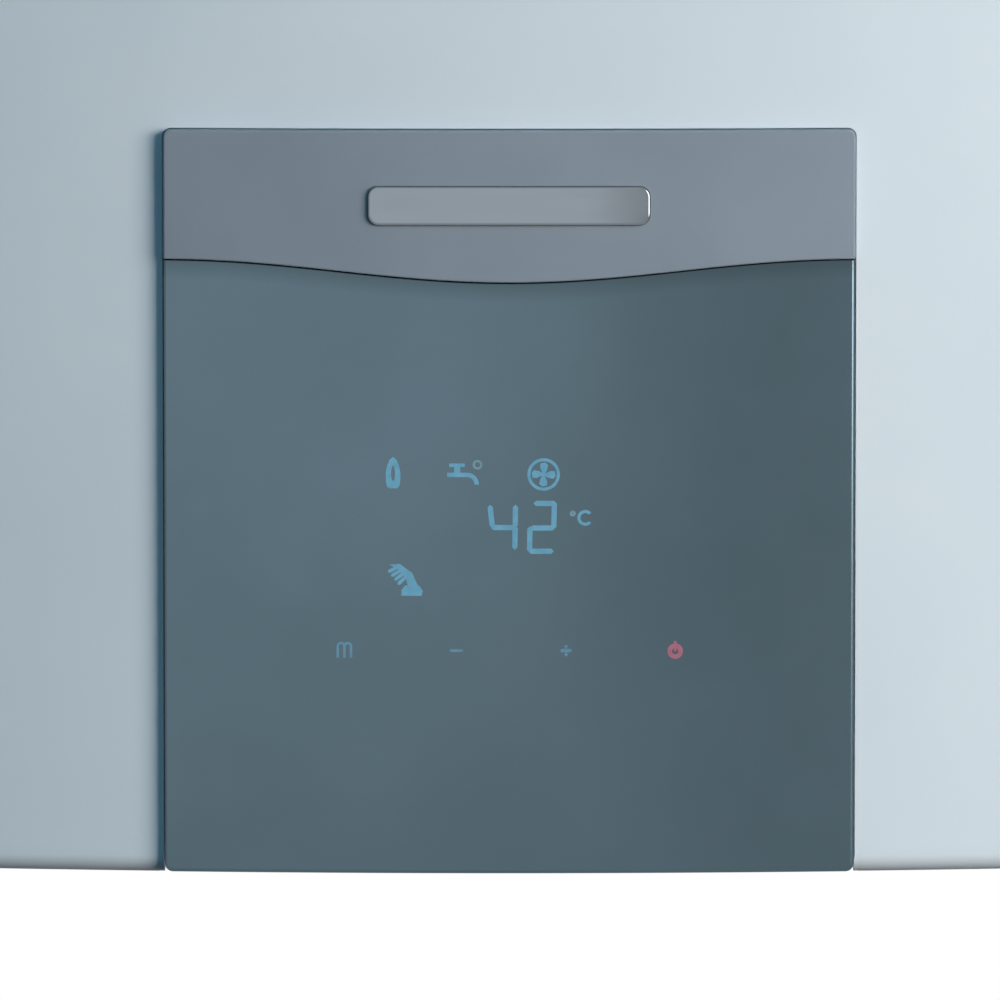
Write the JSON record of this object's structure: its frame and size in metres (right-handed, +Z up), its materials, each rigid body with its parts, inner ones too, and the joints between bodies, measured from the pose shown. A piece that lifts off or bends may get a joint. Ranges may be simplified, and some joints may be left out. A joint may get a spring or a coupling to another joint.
{
  "type": "gas water heater",
  "caption": "Wall-hung instantaneous gas water heater: bowed painted casing, wave-edged trim over a tinted touch display, fan flue, burner, copper heat exchanger and water controls.",
  "frame": {"origin": "on the wall plane, in the middle of the four wall holes", "axes": "+X to the right seen from the front, +Y into the wall, +Z up; the front faces -Y"},
  "size_m": [0.35, 0.2444, 0.746],
  "materials": {
    "silver_paint": "satin silver-blue enamel",
    "zinc_sheet": "galvanised",
    "trim_silver": "metallic silver lacquer",
    "tinted_glass": "grey-tinted, polished",
    "bright_chrome": "polished",
    "grey_plastic": "fine texture",
    "circuit_board": "solder mask",
    "black_plastic": "moulded",
    "white_plastic": "moulded",
    "stainless": "satin",
    "copper": "bright copper, slightly dulled",
    "brass": "machined",
    "cast_aluminium": "as cast",
    "flue_enamel": "satin",
    "porcelain": "glazed",
    "clear_glass": "heat-proof, polished",
    "black_rubber": "matte",
    "silicone": "translucent grey silicone",
    "lead_red": "silicone-sheathed"
  },
  "bodies": {
    "chassis": {"back_plate": "zinc_sheet", "bottom_plate": "zinc_sheet", "top_plate": "zinc_sheet", "trim_band": "trim_silver", "glass_panel": "tinted_glass", "badge_plate": "bright_chrome", "control_box": "grey_plastic", "box_screws": "stainless", "control_board": "circuit_board", "board_components": "black_plastic", "display_board": "circuit_board", "light_guide": "white_plastic", "burner_frame": "stainless", "burner_bars": "stainless", "gas_manifold": "cast_aluminium", "gas_nozzles": "brass", "sight_frame": "stainless", "sight_glass": "clear_glass", "electrode_insulators": "porcelain", "ignition_electrodes": "stainless", "ignition_transformer": "black_plastic", "ignition_leads": "lead_red", "mounting_brackets": "zinc_sheet", "exchanger_shell": "copper", "exchanger_fins": "copper", "exchanger_tubes": "copper", "shell_coil": "copper", "cold_pipe": "copper", "hot_pipe": "copper", "flue_hood": "zinc_sheet", "fan_housing": "zinc_sheet", "fan_motor": "black_plastic", "flue_spigot": "cast_aluminium", "collar_gasket": "black_rubber", "air_collar": "flue_enamel", "collar_screws": "stainless", "pressure_switch": "white_plastic", "pressure_hoses": "silicone", "cold_inlet_fitting": "brass", "hot_outlet_fitting": "brass", "gas_inlet_fitting": "brass", "flow_sensor_body": "black_plastic", "servo_valve_body": "brass", "servo_motor": "black_plastic", "temperature_sensors": "stainless", "gas_valve_body": "cast_aluminium", "gas_valve_coils": "black_plastic", "gas_pipe": "stainless", "union_nuts": "brass", "cable_gland": "black_plastic", "wiring_harness": "black_rubber"},
    "casing": {"front_casing": "silver_paint", "casing_screws": "stainless"},
    "fan_rotor": {"fan_impeller": "zinc_sheet"},
    "flow_rotor": {"flow_turbine": "white_plastic"},
    "safety_valve": {"safety_plunger": "stainless"},
    "main_valve": {"main_plunger": "stainless"},
    "modulating_valve": {"modulating_plunger": "stainless"},
    "flow_servo": {"servo_spindle": "stainless"},
    "drain": {"drain_plug": "brass"}
  },
  "joints": [
    {"name": "casing_pull", "type": "slide", "parent": "chassis", "child": "casing", "axis": [0, -1, 0], "range_m": [0, 0.3]},
    {"name": "fan_spin", "type": "hinge", "parent": "chassis", "child": "fan_rotor", "pos_m": [-0.0505, -0.12, 0.2505], "axis": [0, -1, 0], "continuous": true},
    {"name": "flow_spin", "type": "hinge", "parent": "chassis", "child": "flow_rotor", "pos_m": [0.1, -0.05, -0.286], "axis": [0, 0, 1], "continuous": true},
    {"name": "safety_lift", "type": "slide", "parent": "chassis", "child": "safety_valve", "axis": [0, -1, 0], "range_m": [0, 0.004], "stiffness_N_per_m": 400, "springref_m": -0.004},
    {"name": "main_lift", "type": "slide", "parent": "chassis", "child": "main_valve", "axis": [0, -1, 0], "range_m": [0, 0.004], "stiffness_N_per_m": 400, "springref_m": -0.004},
    {"name": "modulating_lift", "type": "slide", "parent": "chassis", "child": "modulating_valve", "axis": [-1, 0, 0], "range_m": [0, 0.004], "stiffness_N_per_m": 400, "springref_m": -0.004},
    {"name": "flow_servo_turn", "type": "hinge", "parent": "chassis", "child": "flow_servo", "pos_m": [0.1, -0.078, -0.237], "axis": [0, -1, 0], "range_deg": [0, 90]},
    {"name": "drain_turn", "type": "hinge", "parent": "chassis", "child": "drain", "pos_m": [0.1, -0.084, -0.34], "axis": [0, 0, -1], "range_deg": [0, 360]}
  ]
}
